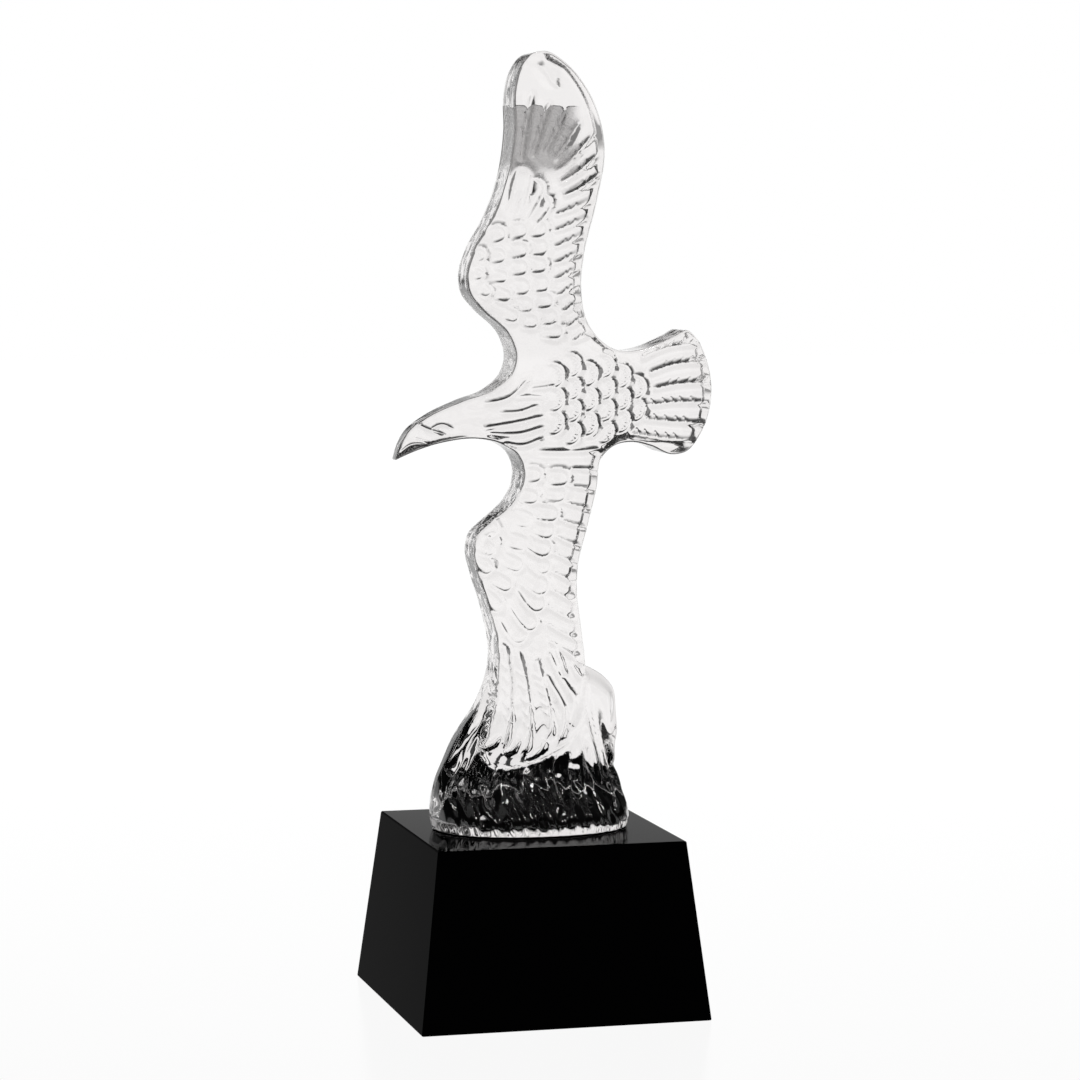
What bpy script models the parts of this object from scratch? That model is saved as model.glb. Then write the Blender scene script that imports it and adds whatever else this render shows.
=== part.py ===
"""A clear crystal eagle with a rock-shaped foot, one moulded casting, standing on a tapered black base.

Metres, +Z up. The origin is the middle of the black base's underside. The eagle's carved front faces -Y,
its head points to -X and its tail to +X.
"""
import math
from collections import namedtuple
from random import Random

import bmesh
import bpy
import numpy as np
from mathutils.geometry import delaunay_2d_cdt

# Driving sizes of the casting
FIGURE_HEIGHT = 0.269
SLAB_THICKNESS = 0.017
FOOT_DEPTH = 0.054
EDGE_ROUNDING = 0.0014
RIM_ROUNDING = 0.0028
RIM_HEIGHT = 0.0065
GROOVE_DEPTH = 0.0013
FLUTE_DEPTH = 0.0016
WING_PROUD_OF_ROCK = 0.0015
BACK_CARVING_SHARE = 0.35

# Driving sizes of the black base
BASE_HEIGHT = 0.0612
BASE_SPLAY = 0.00725
BASE_LEDGE = 0.00845
BASE_ARRIS = 0.0005
SEAT_GAP = 0.0003

# How finely the casting is meshed before it is thinned
OUTLINE_STEP = 1.5
FRONT_STEP = 1.7
BACK_STEP = 2.8
FACES_KEPT = 9200

# The figure is drawn as points (x, z) on a grid 269 units high, from the foot's underside to the wing tip.
GRID_HEIGHT = 269.0
UNIT = FIGURE_HEIGHT / GRID_HEIGHT

CROWN = [
    (-49, 129), (-47.7, 133.5), (-44.5, 139), (-37.6, 144), (-26.3, 149), (-15.5, 153), (-9.5, 158.5), (-8, 164),
]
UPPER_LEADING_EDGE = [
    (-10.5, 172), (-19.5, 180.5), (-24, 186), (-25, 192), (-22.5, 201), (-16.5, 211.5), (-11, 225.5),
    (-8.5, 242),
]
UPPER_WING_TIP = [
    (-8.5, 255), (-6.8, 262), (-2.5, 267.8), (2, 269), (10, 265), (17, 257), (21.8, 246.5), (23.7, 235.5),
]
UPPER_TRAILING_EDGE = [
    (21, 218), (16.5, 199.5), (15.5, 189), (18, 176), (22, 170.5), (27, 167), (32.5, 166),
]
TAIL_RIM = [
    (39, 167), (50, 171.5), (54, 173.3), (57, 171), (61, 163.5), (63, 154), (62, 144), (58.5, 136), (54, 131),
    (49, 130), (41, 133), (34, 134.5), (28, 133.5),
]
LOWER_TRAILING_EDGE = [
    (23.3, 129.5), (21.5, 119), (18, 104.5), (15, 92.5), (14.5, 84), (16, 71), (17.5, 60), (18, 56.5),
]
ROCK_RIGHT = [
    (18, 56.5), (22.5, 54.5), (27, 51.5), (30.3, 47.5), (31.2, 42.5), (30.5, 35.5), (29, 28), (29.6, 22),
    (32, 14.5), (34, 7.5), (34.8, 3), (34.3, 0),
]
ROCK_LEFT = [
    (-35, 0), (-35.8, 4), (-35.3, 11), (-33.8, 17), (-30.8, 23.5), (-27.3, 30.5), (-23.3, 36.5), (-19.3, 42),
    (-16.4, 48), (-14.3, 54.5), (-13.6, 61),
]
LOWER_LEADING_EDGE = [
    (-14.5, 68), (-17.5, 79.5), (-20.8, 89.5), (-22.4, 97), (-21.5, 102), (-16, 107.5), (-9, 113.5),
    (-5.6, 119.5), (-5, 125),
]
THROAT = [(-7.5, 131), (-13, 134.5), (-21, 136.2), (-32.5, 135), (-44, 131.3), (-49, 129)]
WING_OVER_ROCK = [
    (18, 60), (18.5, 48), (16.5, 37), (12, 30), (4, 25.3), (-5.5, 22.5), (-12, 21.5), (-17, 23.3), (-19.3, 27.5),
    (-18, 36), (-15.5, 46), (-14, 60),
]
# How far the rock's middle reaches out at each height, as a share of half the foot's depth: it stands a little
# further out in front than behind.
ROCK_FRONT_REACH = [
    (0, 1.06), (3.5, 1.074), (6.2, 1.036), (9, 0.891), (12, 0.698), (15, 0.542), (20, 0.37), (26, 0.251),
    (34, 0.171), (45, 0.118), (62, 0.075),
]
ROCK_BACK_REACH = [
    (0, 0.926), (8, 0.915), (13, 0.81), (18, 0.66), (23, 0.54), (30, 0.44), (40, 0.33), (50, 0.255), (62, 0.19),
]
# How far the front of the rock reaches out at least, as a share of the slab's thickness, left and right of the
# wing's end. Less than 0 is behind the figure's middle plane.
ROCK_LEFT_FLOOR = [(0, 0.15), (12, 0.12), (25, -0.04), (40, -0.12), (62, -0.15)]
ROCK_RIGHT_FLOOR = [(0, 0.15), (12, 0.2), (24, 0.38), (34, 0.44), (45, 0.43), (62, 0.4)]
ROCK_BACK_FLOOR = [(0, 0.16), (12, 0.2), (30, 0.36), (50, 0.48), (62, 0.5)]
ROCK_SIDE_SLOPE = 0.7

Groove = namedtuple("Groove", "line depth left right fades covers swell", defaults=(False, 1.0))


def smooth_step(low, high, value):
    share = np.clip((value - low) / (high - low), 0.0, 1.0)
    return share * share * (3.0 - 2.0 * share)


def smooth_line(points, spacing):
    """A smooth curve through a few points, as points that lie evenly along it."""
    knots = np.array(points, float)
    gaps = np.hypot(*np.diff(knots, axis=0).T)
    slopes = np.diff(knots, axis=0) / gaps[:, None]
    tangents = np.vstack([slopes[:1], slopes[:1].repeat(len(knots) - 2, 0), slopes[-1:]])
    weights = gaps[:-1, None] / (gaps[:-1] + gaps[1:])[:, None]
    tangents[1:-1] = slopes[:-1] * (1 - weights) + slopes[1:] * weights
    t = np.linspace(0, 1, 12, endpoint=False)[:, None]
    pieces = [
        knots[i] * (1 + 2 * t) * (1 - t) ** 2
        + tangents[i] * gap * t * (1 - t) ** 2
        + knots[i + 1] * t * t * (3 - 2 * t)
        + tangents[i + 1] * gap * t * t * (t - 1)
        for i, gap in enumerate(gaps)
    ]
    dense = np.vstack(pieces + [knots[-1:]])
    along = np.append(0.0, np.cumsum(np.hypot(*np.diff(dense, axis=0).T)))
    even = np.linspace(0, along[-1], max(2, round(along[-1] / spacing) + 1))
    return np.column_stack([np.interp(even, along, dense[:, axis]) for axis in (0, 1)])


def measure(x, z, line):
    """For each point: its distance to the line, +1 on the line's left and -1 on its right, and where along it."""
    start, run = line[:-1], np.diff(line, axis=0)
    length = np.hypot(*run.T)
    before = np.cumsum(length) - length
    off = np.stack([x, z], -1)[:, None] - start
    share = np.clip((off * run).sum(-1) / length**2, 0, 1)
    away = off - share[..., None] * run
    distance = np.hypot(away[..., 0], away[..., 1])
    nearest = distance.argmin(1)
    rows = np.arange(len(x))
    off = off[rows, nearest]
    cross = run[nearest, 0] * off[:, 1] - run[nearest, 1] * off[:, 0]
    along = (before[nearest] + share[rows, nearest] * length[nearest]) / length.sum()
    return distance[rows, nearest], np.where(cross > 0, 1.0, -1.0), along


def depth_inside(x, z, outline):
    """How far inside a closed outline each point is, negative outside it."""
    result = np.empty(len(x))
    ends = np.roll(outline, -1, axis=0)
    loop = np.vstack([outline, outline[:1]])
    for first in range(0, len(x), 4000):
        px, pz = x[first : first + 4000], z[first : first + 4000]
        crosses = (outline[:, 1] > pz[:, None]) != (ends[:, 1] > pz[:, None])
        rise = np.where(ends[:, 1] == outline[:, 1], 1.0, ends[:, 1] - outline[:, 1])
        at = outline[:, 0] + (pz[:, None] - outline[:, 1]) * (ends[:, 0] - outline[:, 0]) / rise
        inside = (crosses & (px[:, None] < at)).sum(1) % 2 == 1
        result[first : first + 4000] = np.where(inside, 1, -1) * measure(px, pz, loop)[0]
    return result


def silhouette(step):
    """The casting's closed outline, and the same without its straight underside."""
    first = smooth_line(
        CROWN + UPPER_LEADING_EDGE + UPPER_WING_TIP + UPPER_TRAILING_EDGE + TAIL_RIM + LOWER_TRAILING_EDGE, step
    )
    right = smooth_line(ROCK_RIGHT, step)
    left = smooth_line(ROCK_LEFT, step)
    last = smooth_line(ROCK_LEFT[-1:] + LOWER_LEADING_EDGE + THROAT, step)
    under = smooth_line([ROCK_RIGHT[-1], ROCK_LEFT[0]], step)
    open_line = np.vstack([left[:-1], last[:-1], first[:-1], right])
    return np.vstack([open_line, under[1:-1]]), open_line


def eagle_outline(step):
    """The eagle's own closed outline, with the lower wing's end that lies over the rock."""
    return np.vstack([
        smooth_line(CROWN + UPPER_LEADING_EDGE + UPPER_WING_TIP + UPPER_TRAILING_EDGE + TAIL_RIM
                    + LOWER_TRAILING_EDGE[:-2], step),
        smooth_line(WING_OVER_ROCK, step),
        smooth_line(LOWER_LEADING_EDGE + THROAT, step)[:-1],
    ])


def even_points(points, count):
    """A number of places spread evenly along the smooth curve through a few points."""
    line = smooth_line(points, 0.5)
    return [tuple(line[round(share * (len(line) - 1))]) for share in np.linspace(0, 1, count)]


def between(guides, count, depth, left, right, fades=(0.15, 0.02), swell=1.0):
    """Grooves that run from one guide curve to the next, side by side. They may widen from a share of their width."""
    return [
        Groove(smooth_line(points, 1.2), depth, left, right, fades, False, swell)
        for points in zip(*[even_points(guide, count) for guide in guides])
    ]


def feather_edge(tip, angle, length, width, depth=1.0, inner=0.55, outer=1.5):
    """The U-shaped edge of a feather that covers what lies under it: angle 0 points to +X, 90 degrees up."""
    turn = np.linspace(math.pi / 2, -math.pi / 2, 11)
    bow = 0.5 * width
    along = np.concatenate([[-length], bow * (np.cos(turn) - 1), [-length]])
    across = np.concatenate([[0.42 * width], 0.5 * width * np.sin(turn), [-0.42 * width]])
    c, s = math.cos(math.radians(angle)), math.sin(math.radians(angle))
    edge = np.column_stack([tip[0] + along * c - across * s, tip[1] + along * s + across * c])
    return Groove(smooth_line(edge, 1.0), depth, outer, inner, (0.25, 0.25), True)


def feather_row(tips, count, angles, lengths, widths, depth=1.0):
    """Feathers along a curve, the last of them under the first, their angle and size changing along it."""
    chance = Random(count)
    row = []
    for i, tip in enumerate(even_points(tips, count)):
        share = i / (count - 1)
        angle, length, width = (low + (high - low) * share for low, high in (angles, lengths, widths))
        tip = (tip[0] + chance.uniform(-0.5, 0.5), tip[1] + chance.uniform(-0.3, 0.3))
        angle += chance.uniform(-7, 7)
        width *= chance.uniform(0.9, 1.1)
        row.append(feather_edge(tip, angle, length, width, depth * chance.uniform(0.7, 1.1)))
    return row[::-1]


def upper_wing():
    flights = between([
        [(-6, 230), (-0.5, 232.5), (4, 233), (6, 226.5), (8.5, 219)],
        [(-4.5, 241), (2, 242), (8, 240.5), (13, 234), (16, 222.5)],
        [(-1.5, 257), (5, 253), (12, 249), (19, 243), (23.5, 228.5)],
    ], 7, 1.3, 1.2, 0.8, (0.1, 0.3))
    secondaries = between([
        [(5, 212.5), (5, 200.5), (5.5, 189), (8, 180.5), (11.5, 169)],
        [(12, 214.5), (11, 201), (10.5, 189.5), (12, 181), (15, 170)],
        [(21, 218.5), (17.5, 203.5), (15.5, 192.5), (16, 183), (20, 172.5)],
    ], 9, 1.0, 2.5, 0.6, (0.1, 0.02), 0.25)
    coverts = (
        feather_row([(3.2, 214), (3.8, 204), (4, 192), (6, 182), (9.5, 172.5)], 8, (6, -6), (9, 9), (6.0, 5.6))
        + feather_row([(-4, 208), (-3.2, 197), (-2.5, 187), (0, 176)], 6, (8, -8), (8, 8), (5.8, 5.6), 0.8)
        + feather_row([(-11.5, 207), (-11.5, 197), (-10, 187), (-7, 178)], 5, (10, -20), (7, 7), (5.2, 5), 0.7)
        + feather_row([(-18, 200), (-18.5, 193), (-17, 186)], 3, (20, -35), (5, 5), (4.6, 4.4), 0.6)
    )
    wrist = [
        feather_edge((3.5, 219.5), 52, 14, 6.5),
        feather_edge((0.5, 225), 62, 18, 6.5),
        feather_edge((-4.8, 229.5), 76, 18, 7),
    ]
    return flights + secondaries + coverts + wrist


def lower_flights():
    """The lower wing's long feathers over the rock: their long edges, the short ones above and their round tips."""
    long_edges = [
        [(-13.4, 66), (-10.9, 63.8), (-10.1, 58.9), (-9.4, 51.9), (-9.7, 45.6), (-9.4, 40), (-10.4, 34.5),
         (-12.2, 27.6)],
        [(-6.9, 63.7), (-5.4, 58.7), (-3.9, 51.7), (-3.2, 46.1), (-2.5, 41.2), (-2.4, 35.6), (-3.1, 30),
         (-4.9, 25.2)],
        [(0.5, 60.6), (1.2, 55.7), (2.7, 50.7), (4.1, 45.1), (5.2, 40.2), (6, 35.9), (6, 31.7)],
        [(3.1, 54.9), (5.6, 50.3), (8.5, 45.6), (10.3, 41.4), (10.7, 37.1), (10, 33), (7.9, 30.2)],
        [(8.9, 53.3), (11.8, 49), (14.4, 45.4), (14.8, 41.9), (14.1, 38.4), (12.3, 34.9)],
    ]
    short_edges = [
        [(10, 63.1), (12.9, 60.2), (16.1, 57.3)],
        [(7.1, 64.6), (9.3, 58.2), (11.1, 53.2)],
        [(4.2, 62.5), (6.4, 57.6), (8.9, 51.9)],
        [(12.5, 58.8), (14.7, 54.5), (16.9, 51.7)],
    ]
    tips = [
        [(-12.6, 33.5), (-15.1, 30.8), (-19.4, 28.5)],
        [(-6.1, 32.2), (-7.5, 29.8), (-9.3, 27.8), (-12.5, 27.2)],
        [(3, 31.9), (2.3, 28.7), (0.1, 26.4), (-4.5, 24.4)],
    ]
    made = [Groove(smooth_line(points, 1.2), 1.1, 0.8, 2.0, (0.08, 0.1)) for points in long_edges]
    made += [Groove(smooth_line(points, 1.2), 1.0, 0.8, 1.4, (0.2, 0.1)) for points in short_edges]
    made += [Groove(smooth_line(points, 1.2), 1.2, 0.8, 1.2, (0.2, 0.2)) for points in tips]
    return made


def lower_wing():
    secondaries = between([
        [(11.5, 125.5), (9.5, 114.5), (6.5, 101.5), (5.5, 88.5), (3, 75), (4, 66)],
        [(16.5, 125), (14.5, 112.5), (11, 99.5), (10, 86.5), (9, 71.5), (10.5, 61.5)],
        [(22.5, 124), (20.5, 110.5), (17, 98), (14.5, 84), (15.5, 68), (17.5, 58)],
    ], 11, 1.0, 1.7, 0.6, (0.1, 0.02), 0.4)
    coverts = (
        feather_row([(-12.5, 77), (-7, 88), (-1, 106), (2, 124)][::-1], 7, (0, -42), (7, 12), (6.2, 5.6), 0.8)
        + feather_row(
            [(11.5, 122.5), (9, 112), (5.5, 101), (4, 90.5), (2.5, 79), (0, 70.5), (-5, 65.5)],
            10, (-2, -58), (10, 17), (6.2, 6.4),
        )
        + feather_row([(-13.5, 104), (-14.5, 97), (-16.5, 90)], 3, (-20, -50), (6, 8), (6, 5.5), 0.7)
    )
    return lower_flights() + secondaries + coverts


def tail():
    return between([
        [(36.5, 163), (39.5, 157), (41, 151), (38.5, 146), (35.5, 142), (32.5, 137.5)],
        [(47, 167), (50, 159.5), (51, 153), (50, 147), (47.5, 140), (45, 135.5)],
        [(58.5, 168.5), (61.5, 161), (63, 154), (62.5, 147.5), (61, 141), (57, 134.5)],
    ], 6, 1.1, 1.3, 0.8, (0.08, 0.02))


def body_scales():
    """Round feathers in columns from the tail's root to the neck, each column over the one behind it."""
    columns = [(39, 2, 7.8), (33.5, 3, 7.8), (27.5, 4, 7.6), (21.5, 3, 8.6), (15.5, 4, 7.8), (9.5, 3, 8.2)]
    return [
        feather_edge((tip_x, 149.5 + pitch * (i - (count - 1) / 2)), 0, 5.5, 8.2)
        for tip_x, count, pitch in columns
        for i in range(count)
    ]


def neck_and_head():
    strands = [
        ((-20.5, 148), (-10.5, 150), (-2.5, 157.5), 1.0),
        ((-10, 150), (-3, 150.6), (3, 150), 0.8),
        ((-14.5, 145), (-6.5, 145.3), (1.5, 148), 1.1),
        ((-20.5, 139.5), (-9, 141.2), (3.5, 144), 1.3),
        ((-19, 138), (-6.5, 137.6), (4, 140.5), 1.3),
        ((-13.5, 134.8), (-5.5, 133.6), (3, 136.5), 1.2),
        ((-3.5, 153), (2, 153.6), (7, 154.5), 0.7),
        ((-1.5, 131.8), (11, 131.4), (25, 132.2), 1.0),
    ]
    lines = [Groove(smooth_line(points, 1.0), depth, 0.9, 0.9, (0.2, 0.2)) for *points, depth in strands]
    face = [
        ((-43, 142), (-37.5, 139.3), (-31.5, 137.8), 1.0),
        ((-37.5, 139.3), (-33.5, 141.1), (-29, 139.6), 0.8),
        ((-48.3, 131), (-44, 134.2), (-37, 134.2), 0.9),
        ((-43, 136.6), (-40.5, 136), (-36.5, 135), 0.4),
    ]
    lines += [Groove(smooth_line(points, 0.6), depth, 0.5, 0.5, (0.15, 0.3)) for *points, depth in face]
    return lines


def odd_marks():
    """The scoop at the upper tip and the cleft beside the rock's right lump."""
    tip = smooth_line([(-0.8, 265), (3.1, 261), (4.9, 258.3), (7, 257), (8.4, 257.7)], 1.0)
    cleft = smooth_line([(18.5, 56), (17, 50), (15.9, 44.6), (14.5, 40.5), (12.8, 34)], 1.0)
    return [Groove(tip, 0.9, 3.0, 0.6, (0.2, 0.2)), Groove(cleft, 1.6, 1.1, 1.1, (0.2, 0.3))]


def all_grooves():
    return upper_wing() + lower_wing() + tail() + body_scales() + neck_and_head() + odd_marks()


def rock_clefts():
    """The deeper clefts that run down the rock beside its flutes."""
    courses = [
        [(-19, 30), (-21.3, 25.4), (-24.2, 18.5), (-28.1, 10)],
        [(-21.5, 32), (-24.5, 26), (-28, 18), (-31, 11)],
        [(-16.5, 20), (-17.5, 15), (-20, 9)],
        [(17.5, 48), (20.6, 36.1), (23.6, 26.2), (26.9, 13.7)],
        [(20.5, 47), (23.3, 34), (26.2, 24.2), (29.5, 14)],
        [(15.5, 34), (18, 27), (21, 18), (23, 11)],
    ]
    return [Groove(smooth_line(points, 1.0), 2.4, 1.5, 1.1, (0.6, 0.15)) for points in courses]


def carving(x, z, grooves):
    """How deep the feather grooves cut at each point, as a share of the groove depth."""
    cut = np.zeros(len(x))
    for groove in grooves:
        reach = 2.2 * max(groove.left, groove.right)
        low, high = groove.line.min(0) - reach, groove.line.max(0) + reach
        near = np.flatnonzero((x > low[0]) & (x < high[0]) & (z > low[1]) & (z < high[1]))
        if not len(near):
            continue
        distance, side, along = measure(x[near], z[near], groove.line)
        start, end = groove.fades
        strength = smooth_step(0, start, along) * smooth_step(0, end, 1 - along)
        width = np.where(side > 0, groove.left * (groove.swell + (1 - groove.swell) * along), groove.right)
        if groove.covers:
            inside = (side < 0) & (along > 0.01) & (along < 0.99)
            cut[near] *= np.where(inside, 1 - strength * smooth_step(0, 0.6, distance), 1.0)
        cut[near] = np.maximum(cut[near], groove.depth * strength * np.exp(-((distance / width) ** 2)))
    return cut


def slab_depth(x, z):
    """Half the slab's thickness, which thins along the neck to the beak and a little at the upper wing's tip."""
    away = np.clip((-8 - x) / 42, 0, 1)
    neck = 1.12 * away**2 / (away + 0.12)
    tip = smooth_step(244, 269, z)
    breast = np.exp(-(((x - 10) / 24) ** 2) - ((z - 149) / 17) ** 2)
    return SLAB_THICKNESS / 2 * (1 - 0.6 * neck) * (1 - 0.1 * tip) * (1 + 0.16 * breast)


def profile(z, points):
    """A smooth profile's value at each height, from a few points (height, value)."""
    line = smooth_line(points, 1.0)
    return np.interp(z, line[:, 0], line[:, 1])


def rock_depth(x, z, reach):
    """The fluted rock's surface, an oval in plan whose middle reaches out by a share of half the foot's depth."""
    right, left = np.array(ROCK_RIGHT)[::-1], np.array(ROCK_LEFT)
    right_x = np.interp(z, right[:, 1], right[:, 0])
    left_x = np.interp(z, left[:, 1], left[:, 0])
    across = (2 * x - right_x - left_x) / (right_x - left_x)
    oval = (1 - np.clip(np.abs(across), 0, 1) ** 2.3) ** (1 / 2.3)
    bent = across + 0.05 * np.sin(5 * across + z / 19) + 0.04 * np.sin(z / 8)
    flutes = np.abs(np.sin(6.5 * math.pi * bent)) - 0.5
    flutes = flutes + 0.45 * np.abs(np.sin(14.5 * math.pi * bent + z / 11))
    level = smooth_step(-3, 5, z) * (1 - 0.5 * smooth_step(20, 60, z)) * smooth_step(0, 0.5, oval)
    return FOOT_DEPTH / 2 * profile(z, reach) * oval + FLUTE_DEPTH * (flutes - 0.5) * level


def rounding(distance, radius):
    """How much a rounded edge takes off, at each distance from that edge."""
    share = 1 - np.clip(distance / radius, 0, 1)
    return radius * (1 - np.sqrt(1 - share**2))


def rim_cut(z):
    """What the rounded rim of the foot takes off the surface."""
    share = 1 - np.clip(z * UNIT / RIM_HEIGHT, 0, 1)
    return RIM_ROUNDING * (1 - np.sqrt(1 - share**2))


def edge_cut(z, inside, depth):
    """What the rounded outline and the rounded rim of the foot take off the surface."""
    radius = np.clip(0.6 * depth, 0.0008, EDGE_ROUNDING)
    return np.minimum(rounding(inside * UNIT, radius) + rim_cut(z), np.maximum(0.75 * depth, radius))


def front_depth(x, z, inside, inside_eagle, cut):
    proud = WING_PROUD_OF_ROCK * (1 - smooth_step(-4, 14, x)) * smooth_step(64, 46, z)
    wing = slab_depth(x, z) + proud - GROOVE_DEPTH * cut
    right = smooth_step(-12, 12, x)
    floor = SLAB_THICKNESS * ((1 - right) * profile(z, ROCK_LEFT_FLOOR) + right * profile(z, ROCK_RIGHT_FLOOR))
    floor += ROCK_SIDE_SLOPE * UNIT * np.clip(inside, 0, 12) * (1 - right) * smooth_step(8, 20, z)
    shoulder = 0.45 * SLAB_THICKNESS * smooth_step(16, 20, x) * smooth_step(30, 42, z) * smooth_step(5, 0, inside)
    rock = np.maximum(rock_depth(x, z, ROCK_FRONT_REACH), floor) - shoulder
    rock -= FLUTE_DEPTH * carving(x, z, rock_clefts())
    on_wing = np.maximum(smooth_step(-0.6, 0.9, inside_eagle), smooth_step(54, 62, z))
    depth = rock + on_wing * np.maximum(wing - rock, 0)
    return depth - edge_cut(z, inside, depth)


def back_depth(x, z, inside, cut):
    slab = slab_depth(x, z) - BACK_CARVING_SHARE * GROOVE_DEPTH * cut
    ground = np.minimum(slab, SLAB_THICKNESS * profile(z, ROCK_BACK_FLOOR))
    depth = np.where(z < 62, np.maximum(ground, rock_depth(x, np.minimum(z, 60), ROCK_BACK_REACH)), slab)
    return depth - edge_cut(z, inside, depth)


def thin_out(layers):
    """Keeps each layer's points that stay clear of the points kept before them by that layer's gap."""
    kept, cells, size = [], {}, max(gap for _, gap in layers)
    for points, gap in layers:
        for x, z in points:
            column, row = math.floor(x / size), math.floor(z / size)
            close = (
                near
                for i in (-1, 0, 1)
                for j in (-1, 0, 1)
                for near in cells.get((column + i, row + j), ())
            )
            if all((x - near_x) ** 2 + (z - near_z) ** 2 >= gap * gap for near_x, near_z in close):
                kept.append((x, z))
                cells.setdefault((column, row), []).append((x, z))
    return kept


def inset(outline, by):
    """The outline's points moved inwards, without those that come too near another stretch of it."""
    run = np.roll(outline, -1, axis=0) - np.roll(outline, 1, axis=0)
    run /= np.hypot(*run.T)[:, None]
    moved = outline + by * np.column_stack([run[:, 1], -run[:, 0]])
    return moved[depth_inside(moved[:, 0], moved[:, 1], outline) > 0.9 * by]


def face_points(outline, step, grooves):
    """Points inside the outline: along its edge, along the grooves, and spread evenly over the rest."""
    rings = [inset(outline, share * EDGE_ROUNDING / UNIT) for share in (0.12, 0.45, 1.0)]
    rows = math.ceil(GRID_HEIGHT / (step * math.sqrt(0.75)))
    grid = np.array([
        ((i + 0.5 * (j % 2)) * step, (j + 0.5) * step * math.sqrt(0.75))
        for j in range(rows)
        for i in range(round(-60 / step), round(70 / step))
    ])
    carved = np.vstack([groove.line for groove in grooves]) if grooves else grid[:0]
    inner = np.vstack([carved, grid])
    deep = depth_inside(inner[:, 0], inner[:, 1], outline) > 1.1 * EDGE_ROUNDING / UNIT
    first = deep[: len(carved)]
    layers = [(ring, 0.25 * step) for ring in rings]
    layers += [(carved[first], 0.45 * step), (grid[deep[len(carved) :]], 0.6 * step)]
    return thin_out([(outline, 0.0)] + layers)[len(outline) :]


def face_mesh(outline, step, grooves):
    """A flat triangle mesh inside the outline, whose first points are the outline's."""
    points = [tuple(point) for point in outline] + face_points(outline, step, grooves)
    ring = list(range(len(outline)))
    made = delaunay_2d_cdt([tuple(map(float, point)) for point in points], [], [ring], 1, 1e-7)
    return np.array([tuple(point) for point in made[0]]), [tuple(face) for face in made[2]]


def casting_mesh():
    """The closed mesh of the eagle and its rock: a carved front, a plainer back and the wall between them."""
    outline, side_line = silhouette(OUTLINE_STEP)
    eagle = eagle_outline(OUTLINE_STEP)
    grooves = all_grooves()
    vertices, faces = [], []
    for front in (True, False):
        flat, triangles = face_mesh(outline, FRONT_STEP if front else BACK_STEP, grooves if front else [])
        x, z = flat.T
        inside = measure_all(x, z, side_line)
        cut = carving(x, z, grooves)
        if front:
            depth = -front_depth(x, z, inside, depth_inside(x, z, eagle), cut)
        else:
            depth = back_depth(x, z, inside, cut)
        first = len(vertices)
        vertices += zip(x * UNIT, depth, z * UNIT + BASE_HEIGHT + SEAT_GAP)
        order = outward_order(flat, triangles, front)
        faces += [tuple(first + corner for corner in face) for face in order]
    back = len(vertices) - len(flat)
    count = len(outline)
    for i in range(count):
        after = (i + 1) % count
        faces += [(i, back + after, back + i), (i, after, back + after)]
    mesh = bpy.data.meshes.new("crystal_eagle")
    mesh.from_pydata([tuple(map(float, vertex)) for vertex in vertices], [], faces)
    return mesh


def measure_all(x, z, line):
    """The distance from each point to a line, worked out a few thousand points at a time."""
    parts = [measure(x[i : i + 4000], z[i : i + 4000], line)[0] for i in range(0, len(x), 4000)]
    return np.concatenate(parts)


def outward_order(flat, triangles, front):
    """The triangles' corners, turned so that the front's face -Y and the back's +Y."""
    turned = []
    for a, b, c in triangles:
        (ax, az), (bx, bz), (cx, cz) = flat[a], flat[b], flat[c]
        faces_front = (bx - ax) * (cz - az) - (bz - az) * (cx - ax) > 0
        turned.append((a, b, c) if faces_front == front else (a, c, b))
    return turned


def glass(name, color, roughness, transmission, alpha):
    material = bpy.data.materials.new(name)
    material.use_nodes = True
    shader = material.node_tree.nodes["Principled BSDF"]
    shader.inputs["Base Color"].default_value = (*color, 1.0)
    shader.inputs["Roughness"].default_value = roughness
    shader.inputs["IOR"].default_value = 1.52
    shader.inputs["Transmission Weight"].default_value = transmission
    shader.inputs["Alpha"].default_value = alpha
    return material


def add_part(mesh, material):
    part = bpy.data.objects.new(mesh.name, mesh)
    part.data.materials.append(material)
    bpy.context.scene.collection.objects.link(part)
    return part


def crystal_eagle():
    mesh = casting_mesh()
    mesh.shade_smooth()
    part = add_part(mesh, glass("clear_crystal", (0.97, 0.97, 0.96), 0.02, 1.0, 1.0))
    thin = part.modifiers.new("Thin", "DECIMATE")
    thin.ratio = min(1.0, FACES_KEPT / len(mesh.polygons))
    return part


def black_base():
    """A square block that widens downwards, its top a ledge wider all round than the rock."""
    rock_x = [x * UNIT for x, _ in ROCK_LEFT + ROCK_RIGHT]
    top = max(max(rock_x) - min(rock_x), FOOT_DEPTH) / 2 + BASE_LEDGE
    bottom = top + BASE_SPLAY
    shape = bmesh.new()
    corners = [(-1, -1), (1, -1), (1, 1), (-1, 1)]
    low = [shape.verts.new((x * bottom, y * bottom, 0)) for x, y in corners]
    high = [shape.verts.new((x * top, y * top, BASE_HEIGHT)) for x, y in corners]
    shape.faces.new(low[::-1])
    shape.faces.new(high)
    for i in range(4):
        j = (i + 1) % 4
        shape.faces.new((low[i], low[j], high[j], high[i]))
    bmesh.ops.bevel(shape, geom=shape.edges[:], offset=BASE_ARRIS, segments=2, profile=0.5, affect="EDGES")
    mesh = bpy.data.meshes.new("black_base")
    shape.to_mesh(mesh)
    shape.free()
    return add_part(mesh, glass("black_crystal", (0.006, 0.006, 0.007), 0.05, 0.0, 1.0))


def main():
    for old in list(bpy.data.objects):
        bpy.data.objects.remove(old)
    black_base()
    crystal_eagle()


main()
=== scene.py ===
"""The looks of a clear crystal eagle on a black base: its finely carved surface, its glass and the studio.

Metres, +Z up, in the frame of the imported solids. The eagle's carved front faces -Y, its head points to -X.
"""
import math
from collections import namedtuple
from random import Random

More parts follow.
